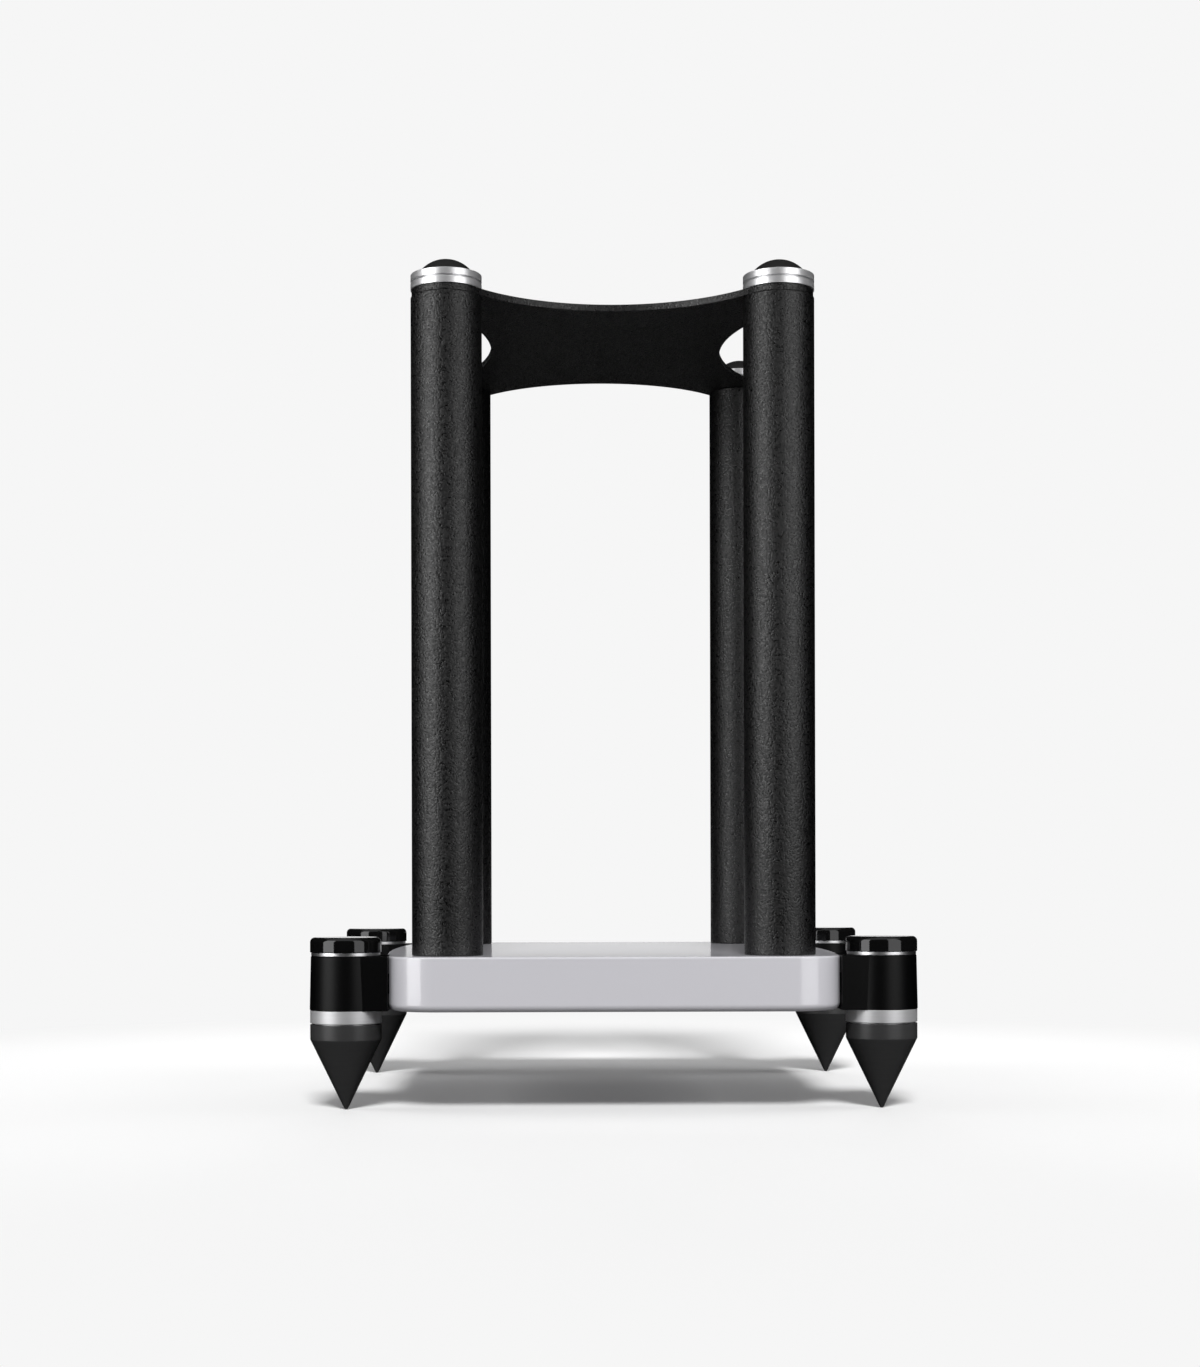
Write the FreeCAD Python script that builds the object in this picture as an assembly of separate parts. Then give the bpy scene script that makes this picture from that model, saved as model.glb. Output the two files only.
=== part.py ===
import FreeCAD, Part
import math
import os

# Speaker stand: four round columns between a thick base slab and a thin waisted top plate,
# on four outrigger feet with screw-adjusted spikes. Rubber domes on the column tops carry the
# loudspeaker. All sizes are millimetres, +Z is up and -Y is the front. The origin is on the
# floor, below the middle of the four columns.

# ---- plan ----
column_spacing_x = 234.0
column_spacing_y = 300.0

# ---- columns ----
column_d = 50.0
column_wall = 2.0
column_length = 462.0
column_end_chamfer = 0.4
plug_length = 20.0
plug_clearance = 0.05
plug_chamfer = 0.5

# ---- base slab ----
slab_overhang = 41.0          # from a column's axis to the slab's edge, along X and along Y
slab_thickness = 38.0
slab_corner_r = 34.0
slab_top_round = 1.5
slab_bottom_round = 5.0

# ---- top plate ----
plate_thickness = 5.0
plate_corner_step = 0.7       # how far the plate's round corners stand in from the columns
plate_front_waist_share = 0.15    # front and rear edges curve in from the column axes by this share of
plate_side_waist_share = 0.095    # the column spacing along X, and the two sides by this one along Y
plate_edge_chamfer = 0.4

# ---- turned discs and rubber domes on the column tops, as wide as the columns ----
disc_chamfer = 0.3
clamp_disc_thickness = 4.5
pad_cup_thickness = 6.0
register_d = 36.0             # spigot that centres the pad cup in the clamp disc
register_depth = 0.8
register_clearance = 0.05
dome_sphere_r = 24.0
dome_height = 11.0
dome_crown_d = 8.0            # small flat on the crown, where the loudspeaker rests
dome_seat_depth = 3.0
dome_seat_clearance = 0.1

# ---- foot: outrigger body, neck and the tongue that enters the slab's edge ----
foot_d = 50.0                 # the cap, the collar and the spike
body_flare = 0.3              # how far the body's lower end stands out from the foot's diameter
body_draw = 0.5               # how far its upper end stands in
body_chamfer = 0.5
neck_length = 5.2             # shortest gap between the round body and the slab's edge
neck_width = 43.0
tongue_shoulder = 6.5         # how far the tongue steps in from each side of the neck
tongue_thickness = 14.0
tongue_end_wall = 4.0         # slab left between the tongue's end and the column bolt's recess
tongue_clearance = 0.2

# ---- foot: rim ring and lock cap above the body ----
rim_step = 0.8                # how far the rim stands in from the foot's diameter
rim_thickness = 2.5
rim_chamfer = 0.3
cap_height = 10.5
cap_round = 3.5
cap_skirt_chamfer = 0.4
insert_d = 24.0               # threaded insert of the cap, M24 x 1.5
insert_grip = 5.5             # length held in the cap
insert_reach = 7.5            # length that enters the body
insert_end_gap = 0.5

# ---- foot: spike, collar and threaded stud below the body ----
spike_tip_d = 2.0
spike_cone_height = 49.5
spike_land_height = 10.5
collar_height = 9.0
collar_chamfer = 0.3
collar_groove_height = 1.0
collar_groove_depth = 3.0
stud_d = 12.0                 # M12 x 1.75
stud_in_spike = 20.0
stud_in_body = 28.0
stud_end_gap = 0.5
stud_chamfer = 0.8
stud_key = 6.0                # hexagon across flats
stud_key_depth = 7.0
running_clearance = 0.05      # radial, for what turns or slides

# ---- fasteners ----
thread_clearance = 0.05       # radial, for a screw in its thread
hole_clearance = 0.3          # radial, for a screw in a plain hole
bolt_d = 8.0                  # column bolts, M8
bolt_head_d = 13.0
bolt_head_height = 8.0
bolt_key = 6.0
bolt_key_depth = 4.0
bolt_in_plug = 16.0
bolt_recess_d = 18.0
bolt_recess_depth = 14.0
washer_d = 16.0
washer_thickness = 1.6
top_screw_in_plug = 17.0      # countersunk M8 screw through disc and plate
top_screw_key = 5.0
top_screw_key_depth = 2.4
side_screw_d = 6.0            # outrigger screws, M6
side_screw_head_d = 10.0
side_screw_head_height = 6.0
side_screw_key = 5.0
side_screw_key_depth = 3.0
side_screw_recess_depth = 7.0
side_screw_recess_clearance = 0.75
side_screw_end_gap = 2.0      # tongue left above the screw's end
side_screw_spacing_share = 0.6    # of the tongue's width

# ---- making ----
level_tolerance = 1e-3        # for finding edges by their height

# ---- levels and places that follow from the sizes above ----
cone_top_z = spike_cone_height
spike_top_z = cone_top_z + spike_land_height
collar_z = spike_top_z + collar_groove_height
slab_bottom_z = collar_z + collar_height
slab_top_z = slab_bottom_z + slab_thickness
rim_top_z = slab_top_z + rim_thickness
plate_bottom_z = slab_top_z + column_length
plate_top_z = plate_bottom_z + plate_thickness
clamp_top_z = plate_top_z + clamp_disc_thickness
cup_top_z = clamp_top_z + pad_cup_thickness

column_x = column_spacing_x / 2
column_y = column_spacing_y / 2
plate_front_waist = plate_front_waist_share * column_spacing_x
plate_side_waist = plate_side_waist_share * column_spacing_y
slab_half_x = column_x + slab_overhang
slab_half_y = column_y + slab_overhang
plate_corner_r = column_d / 2 - plate_corner_step
body_bottom_r = foot_d / 2 + body_flare
body_top_r = foot_d / 2 - body_draw
foot_x = slab_half_x + neck_length + body_bottom_r
foot_y = column_y
tube_inner_r = column_d / 2 - column_wall
tongue_length = slab_overhang - bolt_recess_d / 2 - tongue_end_wall
tongue_width = neck_width - 2 * tongue_shoulder
side_screw_spacing = side_screw_spacing_share * tongue_width
tongue_bottom_z = slab_bottom_z + (slab_thickness - tongue_thickness) / 2
counterbore_floor_z = slab_top_z - insert_reach - insert_end_gap

CORNERS = {
    "front_left": (-1, -1),
    "front_right": (1, -1),
    "rear_left": (-1, 1),
    "rear_right": (1, 1),
}
UP = FreeCAD.Vector(0, 0, 1)


def point(x, y, z=0.0):
    return FreeCAD.Vector(x, y, z)


def rod(diameter, z_low, z_high, x=0.0, y=0.0):
    """Upright round bar between two levels."""
    return Part.makeCylinder(diameter / 2, z_high - z_low, point(x, y, z_low), UP)


def turned(profile):
    """Solid of revolution about Z from (radius, z) points."""
    corners = [point(r, 0, z) for r, z in profile]
    face = Part.Face(Part.makePolygon(corners + corners[:1]))
    return face.revolve(point(0, 0), UP, 360)


def hexagon_bar(across_flats, z_low, z_high):
    """Upright six-sided bar, for key sockets."""
    r = across_flats / 2 / math.cos(math.radians(30))
    corners = [point(r * math.cos(math.radians(60 * i)), r * math.sin(math.radians(60 * i)), z_low)
               for i in range(6)]
    face = Part.Face(Part.makePolygon(corners + corners[:1]))
    return face.extrude(point(0, 0, z_high - z_low))


def edges_at(shape, z):
    """Edges that lie flat at a level."""
    return [e for e in shape.Edges
            if abs(e.BoundBox.ZMin - z) < level_tolerance
            and abs(e.BoundBox.ZMax - z) < level_tolerance]


def moved(shape, x, y, z=0.0):
    copy = shape.copy()
    copy.translate(point(x, y, z))
    return copy


def mirrored(shape, side_x, side_y):
    """Turns a piece made for the +X +Y corner over to another corner."""
    if side_x < 0:
        shape = shape.mirror(point(0, 0), point(1, 0))
    if side_y < 0:
        shape = shape.mirror(point(0, 0), point(0, 1))
    return shape


def at_columns(shape):
    return [moved(shape, sx * column_x, sy * column_y) for sx, sy in CORNERS.values()]


# ---- base slab ----
def slab_block(z_low, z_high):
    """Rounded rectangle of the slab's outline, between two levels."""
    block = Part.makeBox(2 * slab_half_x, 2 * slab_half_y, z_high - z_low,
                         point(-slab_half_x, -slab_half_y, z_low))
    upright = [e for e in block.Edges if e.BoundBox.ZLength > level_tolerance]
    return block.makeFillet(slab_corner_r, upright)


def tongue_shape(clearance):
    """Tongue of the +X +Y outrigger, or its pocket when grown by a clearance."""
    x_inner = slab_half_x - tongue_length - clearance
    width = tongue_width + 2 * clearance
    return Part.makeBox(foot_x - x_inner, width, tongue_thickness + 2 * clearance,
                        point(x_inner, foot_y - width / 2, tongue_bottom_z - clearance))


def side_screw_places():
    """Axes of the two screws that hold the +X +Y outrigger's tongue."""
    x = slab_half_x - tongue_length / 2
    return [(x, foot_y - side_screw_spacing / 2), (x, foot_y + side_screw_spacing / 2)]


def column_bolt_hole():
    plain = rod(bolt_d + 2 * hole_clearance, slab_bottom_z, slab_top_z)
    recess = rod(bolt_recess_d, slab_bottom_z, slab_bottom_z + bolt_recess_depth)
    return plain.fuse(recess)


def side_screw_hole(x, y):
    recess_d = side_screw_head_d + 2 * side_screw_recess_clearance
    plain = rod(side_screw_d + 2 * hole_clearance, slab_bottom_z, tongue_bottom_z, x, y)
    recess = rod(recess_d, slab_bottom_z, slab_bottom_z + side_screw_recess_depth, x, y)
    return plain.fuse(recess)


def make_base_slab():
    slab = slab_block(slab_bottom_z, slab_top_z)
    slab = slab.makeFillet(slab_top_round, edges_at(slab, slab_top_z))
    slab = slab.makeFillet(slab_bottom_round, edges_at(slab, slab_bottom_z))
    slab = slab.cut(at_columns(column_bolt_hole()))
    corner_cuts = [tongue_shape(tongue_clearance)]
    corner_cuts += [side_screw_hole(x, y) for x, y in side_screw_places()]
    for sx, sy in CORNERS.values():
        slab = slab.cut([mirrored(cut, sx, sy) for cut in corner_cuts])
    return slab


# ---- top plate ----
def waist_radius(half_spacing, depth):
    """Radius of the hollow edge that runs tangent into the round corners at both ends."""
    r = plate_corner_r
    return (half_spacing ** 2 + depth ** 2 - r ** 2) / (2 * (depth + r))


def towards(start, end, distance):
    step = end - start
    return start + step * (distance / step.Length)


def plate_outline():
    """Four round corners joined by four hollow edges."""
    front_r = waist_radius(column_x, plate_front_waist)
    side_r = waist_radius(column_y, plate_side_waist)
    front_end = {}
    side_end = {}
    corner_arc = {}
    for name, (sx, sy) in CORNERS.items():
        corner = point(sx * column_x, sy * column_y)
        front_centre = point(0, sy * (column_y - plate_front_waist + front_r))
        side_centre = point(sx * (column_x - plate_side_waist + side_r), 0)
        front_end[name] = towards(front_centre, corner, front_r)
        side_end[name] = towards(side_centre, corner, side_r)
        outermost = towards(corner, corner + point(sx, sy), plate_corner_r)
        corner_arc[name] = Part.Arc(front_end[name], outermost, side_end[name]).toShape()
    front_apex = point(0, -(column_y - plate_front_waist))
    side_apex = point(column_x - plate_side_waist, 0)
    edges = [
        Part.Arc(front_end["front_left"], front_apex, front_end["front_right"]).toShape(),
        corner_arc["front_right"],
        Part.Arc(side_end["front_right"], side_apex, side_end["rear_right"]).toShape(),
        corner_arc["rear_right"],
        Part.Arc(front_end["rear_right"], -front_apex, front_end["rear_left"]).toShape(),
        corner_arc["rear_left"],
        Part.Arc(side_end["rear_left"], -side_apex, side_end["front_left"]).toShape(),
        corner_arc["front_left"],
    ]
    return Part.Wire(edges)


def make_top_plate():
    plate = Part.Face(plate_outline()).extrude(point(0, 0, plate_thickness))
    plate = moved(plate, 0, 0, plate_bottom_z)
    rims = edges_at(plate, plate_top_z) + edges_at(plate, plate_bottom_z)
    plate = plate.makeChamfer(plate_edge_chamfer, rims)
    hole = rod(bolt_d + 2 * hole_clearance, plate_bottom_z, plate_top_z)
    return plate.cut(at_columns(hole))


# ---- columns ----
def make_column_tube():
    r = column_d / 2
    c = column_end_chamfer
    return turned([
        (tube_inner_r, slab_top_z), (r - c, slab_top_z), (r, slab_top_z + c),
        (r, plate_bottom_z - c), (r - c, plate_bottom_z), (tube_inner_r, plate_bottom_z)])


def make_plug(z_low):
    """Solid plug with a central M8 thread, for either end of a tube."""
    r = tube_inner_r - plug_clearance
    c = plug_chamfer
    z_high = z_low + plug_length
    plug = turned([(0, z_low), (r - c, z_low), (r, z_low + c), (r, z_high - c), (r - c, z_high), (0, z_high)])
    return plug.cut(rod(bolt_d + 2 * thread_clearance, z_low, z_high))


# ---- column tops ----
def make_clamp_disc():
    r = column_d / 2
    c = disc_chamfer
    seat_z = clamp_top_z - register_depth
    hole_r = bolt_d / 2 + hole_clearance
    seat_r = hole_r + seat_z - plate_top_z
    register_r = register_d / 2 + register_clearance
    return turned([
        (hole_r, plate_top_z), (r, plate_top_z), (r, clamp_top_z - c), (r - c, clamp_top_z),
        (register_r, clamp_top_z), (register_r, seat_z), (seat_r, seat_z)])


def dome_centre_z():
    return cup_top_z + dome_height - math.sqrt(dome_sphere_r ** 2 - (dome_crown_d / 2) ** 2)


def dome_base_r():
    return math.sqrt(dome_sphere_r ** 2 - (cup_top_z - dome_centre_z()) ** 2)


def make_pad_cup():
    """Disc with a register below and a round seat for the dome above."""
    r = column_d / 2
    c = disc_chamfer
    register_r = register_d / 2
    seat_r = dome_base_r() + dome_seat_clearance
    seat_z = cup_top_z - dome_seat_depth
    return turned([
        (0, clamp_top_z - register_depth), (register_r, clamp_top_z - register_depth),
        (register_r, clamp_top_z), (r - c, clamp_top_z), (r, clamp_top_z + c),
        (r, cup_top_z - c), (r - c, cup_top_z), (seat_r, cup_top_z), (seat_r, seat_z), (0, seat_z)])


def make_dome_pad():
    """Rubber dome: a short cylinder in its seat and a ball segment with a small flat crown."""
    base_r = dome_base_r()
    crown_r = dome_crown_d / 2
    seat_z = cup_top_z - dome_seat_depth
    crown_z = cup_top_z + dome_height
    centre_z = dome_centre_z()
    half_turn = (math.asin(base_r / dome_sphere_r) + math.asin(crown_r / dome_sphere_r)) / 2
    halfway = point(dome_sphere_r * math.sin(half_turn), 0, centre_z + dome_sphere_r * math.cos(half_turn))
    arc = Part.Arc(point(base_r, 0, cup_top_z), halfway, point(crown_r, 0, crown_z)).toShape()
    sides = Part.makePolygon([point(crown_r, 0, crown_z), point(0, 0, crown_z), point(0, 0, seat_z),
                              point(base_r, 0, seat_z), point(base_r, 0, cup_top_z)])
    return Part.Face(Part.Wire([arc] + sides.Edges)).revolve(point(0, 0), UP, 360)


# ---- fasteners ----
def socket_head_screw(diameter, head_d, head_height, key, key_depth, head_z, end_z):
    """Cap screw that points up: head_z is the seat under the head."""
    head = rod(head_d, head_z - head_height, head_z)
    shank = rod(diameter, head_z, end_z)
    socket = hexagon_bar(key, head_z - head_height, head_z - head_height + key_depth)
    return head.fuse(shank).removeSplitter().cut(socket)


def make_column_bolt():
    head_z = slab_bottom_z + bolt_recess_depth - washer_thickness
    return socket_head_screw(bolt_d, bolt_head_d, bolt_head_height, bolt_key, bolt_key_depth,
                             head_z, slab_top_z + bolt_in_plug)


def make_washer():
    top_z = slab_bottom_z + bolt_recess_depth
    ring = rod(washer_d, top_z - washer_thickness, top_z)
    return ring.cut(rod(bolt_d + 2 * hole_clearance, top_z - washer_thickness, top_z))


def make_top_screw():
    """Countersunk screw that points down, flush in the clamp disc."""
    r = bolt_d / 2
    seat_z = clamp_top_z - register_depth
    head_r = r + seat_z - plate_top_z
    end_z = plate_bottom_z - top_screw_in_plug
    screw = turned([(0, end_z), (r, end_z), (r, plate_top_z), (head_r, seat_z), (0, seat_z)])
    return screw.cut(hexagon_bar(top_screw_key, seat_z - top_screw_key_depth, seat_z))


def make_side_screw():
    head_z = slab_bottom_z + side_screw_recess_depth
    end_z = tongue_bottom_z + tongue_thickness - side_screw_end_gap
    return socket_head_screw(side_screw_d, side_screw_head_d, side_screw_head_height, side_screw_key,
                             side_screw_key_depth, head_z, end_z)


# ---- feet, each made on the axis of the +X +Y foot or at the origin ----
def outrigger_barrel():
    """Slightly tapered round body, at the origin."""
    low_r = body_bottom_r
    high_r = body_top_r
    c = body_chamfer
    return turned([(0, slab_bottom_z), (low_r - c, slab_bottom_z), (low_r, slab_bottom_z + c),
                   (high_r, slab_top_z - c), (high_r - c, slab_top_z), (0, slab_top_z)])


def outrigger_neck():
    """Full-height neck from the body to the slab's side."""
    return Part.makeBox(foot_x - slab_half_x, neck_width, slab_thickness,
                        point(slab_half_x, foot_y - neck_width / 2, slab_bottom_z))


def make_outrigger_body():
    """Body, neck and tongue in one piece, bored for the stud and for the cap's insert."""
    body = moved(outrigger_barrel(), foot_x, foot_y)
    body = body.fuse([outrigger_neck(), tongue_shape(0)]).removeSplitter()
    bore = rod(stud_d + 2 * running_clearance, slab_bottom_z, slab_top_z, foot_x, foot_y)
    counterbore = rod(insert_d + 2 * running_clearance, counterbore_floor_z, slab_top_z, foot_x, foot_y)
    threads = [rod(side_screw_d + 2 * thread_clearance, tongue_bottom_z,
                   tongue_bottom_z + tongue_thickness - side_screw_end_gap, x, y)
               for x, y in side_screw_places()]
    return body.cut([bore, counterbore] + threads)


def make_rim_ring():
    r = foot_d / 2 - rim_step
    c = rim_chamfer
    inner_r = insert_d / 2 + hole_clearance
    return turned([(inner_r, slab_top_z), (r - c, slab_top_z), (r, slab_top_z + c),
                   (r, rim_top_z - c), (r - c, rim_top_z), (inner_r, rim_top_z)])


def make_cap_insert():
    return rod(insert_d, slab_top_z - insert_reach, rim_top_z + insert_grip)


def make_lock_cap():
    """Thick turned cap with a well-rounded top edge and a pocket for the insert."""
    r = foot_d / 2
    c = cap_skirt_chamfer
    top_z = rim_top_z + cap_height
    cap = turned([(0, rim_top_z), (r - c, rim_top_z), (r, rim_top_z + c), (r, top_z), (0, top_z)])
    cap = cap.makeFillet(cap_round, edges_at(cap, top_z))
    pocket = rod(insert_d + 2 * running_clearance, rim_top_z, rim_top_z + insert_grip)
    return cap.cut(pocket)


def make_spike_cone():
    """Solid cone with a short cylinder above it and a blind thread for the stud."""
    r = foot_d / 2
    spike = turned([(0, 0), (spike_tip_d / 2, 0), (r, cone_top_z), (r, spike_top_z), (0, spike_top_z)])
    hole = rod(stud_d + 2 * running_clearance, spike_top_z - stud_in_spike - stud_end_gap, spike_top_z)
    return spike.cut(hole)


def make_spike_collar():
    """Bright collar between body and spike, stepped in below to leave a dark groove."""
    r = foot_d / 2
    c = collar_chamfer
    groove_r = r - collar_groove_depth
    bore_r = stud_d / 2 + running_clearance
    return turned([(bore_r, spike_top_z), (groove_r, spike_top_z), (groove_r, collar_z),
                   (r - c, collar_z), (r, collar_z + c), (r, slab_bottom_z - c),
                   (r - c, slab_bottom_z), (bore_r, slab_bottom_z)])


def make_spike_stud():
    """Threaded stud, turned from above with a hexagon key."""
    r = stud_d / 2
    c = stud_chamfer
    z_low = spike_top_z - stud_in_spike
    z_high = slab_bottom_z + stud_in_body
    stud = turned([(0, z_low), (r - c, z_low), (r, z_low + c), (r, z_high - c), (r - c, z_high), (0, z_high)])
    return stud.cut(hexagon_bar(stud_key, z_high - stud_key_depth, z_high))


# ---- the whole stand ----
def make_nodes():
    nodes = {"base_slab": make_base_slab(), "top_plate": make_top_plate()}
    nodes["column_bolts"] = Part.makeCompound(at_columns(make_column_bolt()))
    nodes["column_washers"] = Part.makeCompound(at_columns(make_washer()))
    nodes["top_screws"] = Part.makeCompound(at_columns(make_top_screw()))
    side_screws = [moved(make_side_screw(), x, y) for x, y in side_screw_places()]
    nodes["outrigger_screws"] = Part.makeCompound(
        [mirrored(screw, sx, sy) for sx, sy in CORNERS.values() for screw in side_screws])
    on_columns = {
        "column_tube": make_column_tube(),
        "column_base_plug": make_plug(slab_top_z),
        "column_top_plug": make_plug(plate_bottom_z - plug_length),
        "clamp_disc": make_clamp_disc(),
        "pad_cup": make_pad_cup(),
        "dome_pad": make_dome_pad(),
    }
    on_feet = {
        "rim_ring": make_rim_ring(),
        "cap_insert": make_cap_insert(),
        "lock_cap": make_lock_cap(),
        "spike_stud": make_spike_stud(),
        "spike_collar": make_spike_collar(),
        "spike_cone": make_spike_cone(),
    }
    outrigger = make_outrigger_body()
    for name, (sx, sy) in CORNERS.items():
        for piece, shape in on_columns.items():
            nodes[f"{piece}_{name}"] = moved(shape, sx * column_x, sy * column_y)
        for piece, shape in on_feet.items():
            nodes[f"{piece}_{name}"] = moved(shape, sx * foot_x, sy * foot_y)
        nodes[f"outrigger_body_{name}"] = mirrored(outrigger, sx, sy)
    return nodes


def main():
    os.makedirs("parts", exist_ok=True)
    for name, shape in make_nodes().items():
        if not shape.isValid():
            raise ValueError(f"{name} is not a valid shape")
        shape.exportStep(f"parts/{name}.step")
        print(name, len(shape.Solids), round(shape.Volume, 1))


main()
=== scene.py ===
import math

import bmesh
import bpy
from mathutils import Matrix, Vector


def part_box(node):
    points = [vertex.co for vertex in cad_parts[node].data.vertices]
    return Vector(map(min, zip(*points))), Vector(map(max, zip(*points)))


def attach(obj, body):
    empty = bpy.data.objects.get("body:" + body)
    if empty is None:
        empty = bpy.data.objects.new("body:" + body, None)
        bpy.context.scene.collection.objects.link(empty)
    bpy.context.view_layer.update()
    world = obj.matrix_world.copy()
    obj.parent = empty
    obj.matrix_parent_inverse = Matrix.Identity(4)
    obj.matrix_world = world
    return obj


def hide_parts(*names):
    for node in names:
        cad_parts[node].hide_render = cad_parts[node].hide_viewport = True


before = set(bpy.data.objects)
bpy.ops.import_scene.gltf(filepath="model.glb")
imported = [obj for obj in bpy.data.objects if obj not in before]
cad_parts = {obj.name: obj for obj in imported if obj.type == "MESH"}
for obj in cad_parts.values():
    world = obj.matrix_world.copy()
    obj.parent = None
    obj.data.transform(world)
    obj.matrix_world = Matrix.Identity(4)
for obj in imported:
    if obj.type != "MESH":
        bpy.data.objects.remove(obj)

bl_info = {
    "name": "Speaker stand",
    "version": (1, 0, 0),
    "blender": (4, 5, 0),
    "location": "3D View > Sidebar > Speaker stand",
    "description": "Turned, coated and lacquered pieces for the packed speaker stand, in a soft studio",
    "category": "Object",
}

MM = 0.001
FULL_TURN = 2 * math.pi
ROUND_SEGMENTS = 160
NEAR = 0.01 * MM
CORNERS = ("front_left", "front_right", "rear_left", "rear_right")

# ---- sizes that the nodes' boxes don't give: R is a radius ----
FIT_GAP, DOME_GAP = 0.05 * MM, 0.1 * MM
BOLT_RECESS_R, BOLT_RECESS_DEPTH = 9 * MM, 14 * MM
SCREW_RECESS_R, SCREW_RECESS_DEPTH = 5.75 * MM, 7 * MM
SCREW_HEAD_R, SCREW_SPREAD = 5 * MM, 9 * MM
TOP_SCREW_HEAD_R, TOP_SCREW_HOLE_R, TOP_SCREW_SINK = 7.8 * MM, 4.3 * MM, 3.5 * MM
REGISTER_R = 18 * MM
SEAM_HEIGHT, SEAM_DEPTH = 1.4 * MM, 2.5 * MM
CROWN_R = 4 * MM
RIM_HOLE_R, STUD_BORE_R = 12.3 * MM, 6.05 * MM
TIP_R, SPIKE_TOP_HEIGHT = 1.0 * MM, 10.5 * MM
GROOVE_HEIGHT, GROOVE_DEPTH = 1.0 * MM, 3.0 * MM
FINE_EDGE, SOFT_EDGE = 0.3 * MM, 0.4 * MM
MIDDLE_STRIP = 6 * MM

# ---- the finishes' shared effects ----
GRAIN_LOW, GRAIN_HIGH = 0.27, 0.73
BAND_SHARE, ROUND_SHARE = 0.2, 0.0008

# ---- the studio, in metres ----
PANEL_PLACES = {"left": (-1.02, -0.78, 0.65), "right": (0.7, -0.9, 0.65)}
PANEL_WIDTH, PANEL_HEIGHT = 0.7, 1.3
OVERHEAD_HEIGHT, OVERHEAD_SIZE = 3.0, 4.0
FILL_PLACES = {"left": (-2.4, 0.0, 1.0), "right": (2.4, 0.0, 1.0), "rear": (0.0, 2.4, 1.0)}
FILL_SIZE, FILL_DROP = 1.6, 0.8
KEY_WAY, KEY_SPREAD = (0.0, 2.0, -2.0), 16
FLOOR_SIZE, FLOOR_PAINT, FLOOR_BOUNCE = 40.0, 0.85, 0.3
FLOOR_NEAR, FLOOR_FAR = 0.45, 0.95
FLAG_LOW, FLAG_HIGH, FLAG_BLACK = Vector((-2.0, -2.6, MM)), Vector((2.0, 0.9, 3.0)), 0.002
GAP_LOW, GAP_HIGH = Vector((-0.35, 0.0, 0.118)), Vector((0.42, 0.0, 0.158))

# ---- the photograph's camera, in pixels, metres and radians ----
PHOTO_SIZE = (1200, 1367)
FOCAL_LENGTH, PICTURE_CENTRE = 2201.4, (562.8, 883.2)
CAMERA_PLACE, CAMERA_YAW, CAMERA_ROLL = (-0.0548, -1.6987, 0.1586), -0.0122, 0.0023


# ---- places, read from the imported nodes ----
def span(node):
    """Lowest level, highest level, radius and axis of a turned node."""
    low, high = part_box(node)
    centre = (low + high) / 2
    return low.z, high.z, (high.x - low.x) / 2, Vector((centre.x, centre.y, 0.0))


FOOT_AXIS = span("lock_cap_rear_right")[3]
COLUMN_AXIS = span("column_tube_rear_right")[3]


# ---- sizes and colours that a user would change ----
class StandSizes(bpy.types.PropertyGroup):
    tube_wall: bpy.props.FloatProperty(
        name="Tube wall", description="Wall of the column tubes", default=2 * MM, min=MM, unit="LENGTH")
    tube_edge: bpy.props.FloatProperty(
        name="Tube edge", description="Rounding of the tubes' ends", default=0.9 * MM, unit="LENGTH")
    slab_corner: bpy.props.FloatProperty(
        name="Slab corner", description="Radius of the slab's corners in plan", default=34 * MM,
        unit="LENGTH")
    slab_bow: bpy.props.FloatProperty(
        name="Slab bow", description="Radius of the slab's gently bowed sides in plan", default=1.7,
        unit="LENGTH")
    slab_top_edge: bpy.props.FloatProperty(
        name="Slab top edge", description="Rounding of the slab's upper edge", default=1.5 * MM,
        unit="LENGTH")
    slab_bottom_edge: bpy.props.FloatProperty(
        name="Slab bottom edge", description="Rounding of the slab's lower edge", default=5 * MM,
        unit="LENGTH")
    plate_edge: bpy.props.FloatProperty(
        name="Plate edge", description="Rounding of the top plate's edges", default=0.6 * MM, unit="LENGTH")
    disc_edge: bpy.props.FloatProperty(
        name="Disc edge", description="Rounding of the bright discs' edges", default=0.4 * MM, unit="LENGTH")
    cap_edge: bpy.props.FloatProperty(
        name="Cap edge", description="Rounding of the lock caps' upper edge", default=3.5 * MM, unit="LENGTH")
    stud_pitch: bpy.props.FloatProperty(
        name="Stud pitch", description="Thread pitch of the spike studs", default=1.75 * MM, unit="LENGTH")
    insert_pitch: bpy.props.FloatProperty(
        name="Insert pitch", description="Thread pitch of the cap inserts", default=1.5 * MM, unit="LENGTH")


def colour_setting(name, description, default):
    return bpy.props.FloatVectorProperty(
        name=name, description=description, default=default, subtype="COLOR", min=0.0, max=1.0)


class StandColours(bpy.types.PropertyGroup):
    slab: colour_setting("Slab", "Silver-grey lacquer of the slab", (0.6, 0.593, 0.63))
    coat: colour_setting("Coat", "Powder coat of the columns and the top plate", (0.0015, 0.0015, 0.0016))
    body: colour_setting("Foot body", "Satin paint of the outrigger bodies", (0.0008, 0.0008, 0.0009))
    spike: colour_setting("Spike", "Blackened steel of the spikes", (0.034, 0.034, 0.0345))
    rubber: colour_setting("Rubber", "Rubber of the domes", (0.002, 0.002, 0.002))


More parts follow.
